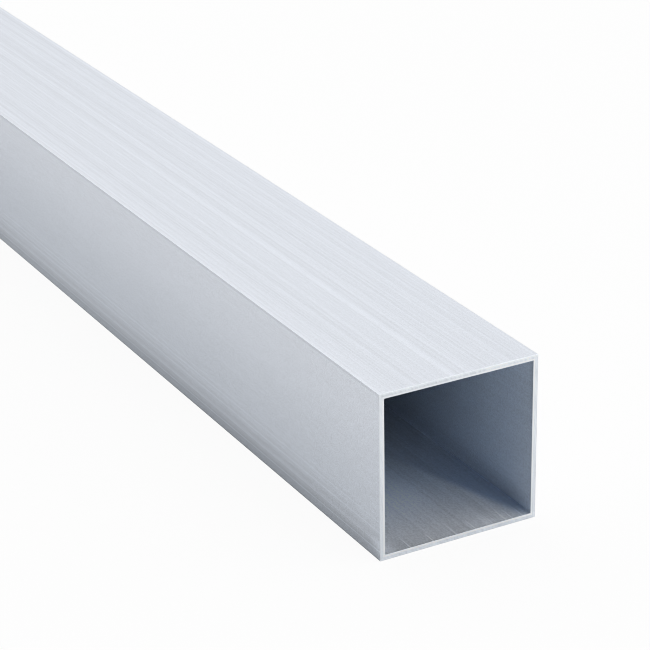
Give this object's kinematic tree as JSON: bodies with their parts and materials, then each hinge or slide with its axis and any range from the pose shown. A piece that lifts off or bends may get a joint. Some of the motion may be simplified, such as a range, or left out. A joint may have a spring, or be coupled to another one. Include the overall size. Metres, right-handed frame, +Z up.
{
  "type": "square tube",
  "caption": "Straight square hollow section in mill-finish aluminium with thin uniform walls, sharp corners and square sawn, lightly deburred open ends.",
  "frame": {"origin": "middle of the footprint, on the underside of the bottom wall", "axes": "+X along the tube towards the end that the picture shows, +Y across it, +Z up"},
  "size_m": [1, 0.05, 0.05],
  "materials": {
    "aluminium": "mill finish, fine die lines along the length"
  },
  "bodies": {
    "root": {"square_tube": "aluminium"}
  },
  "joints": []
}
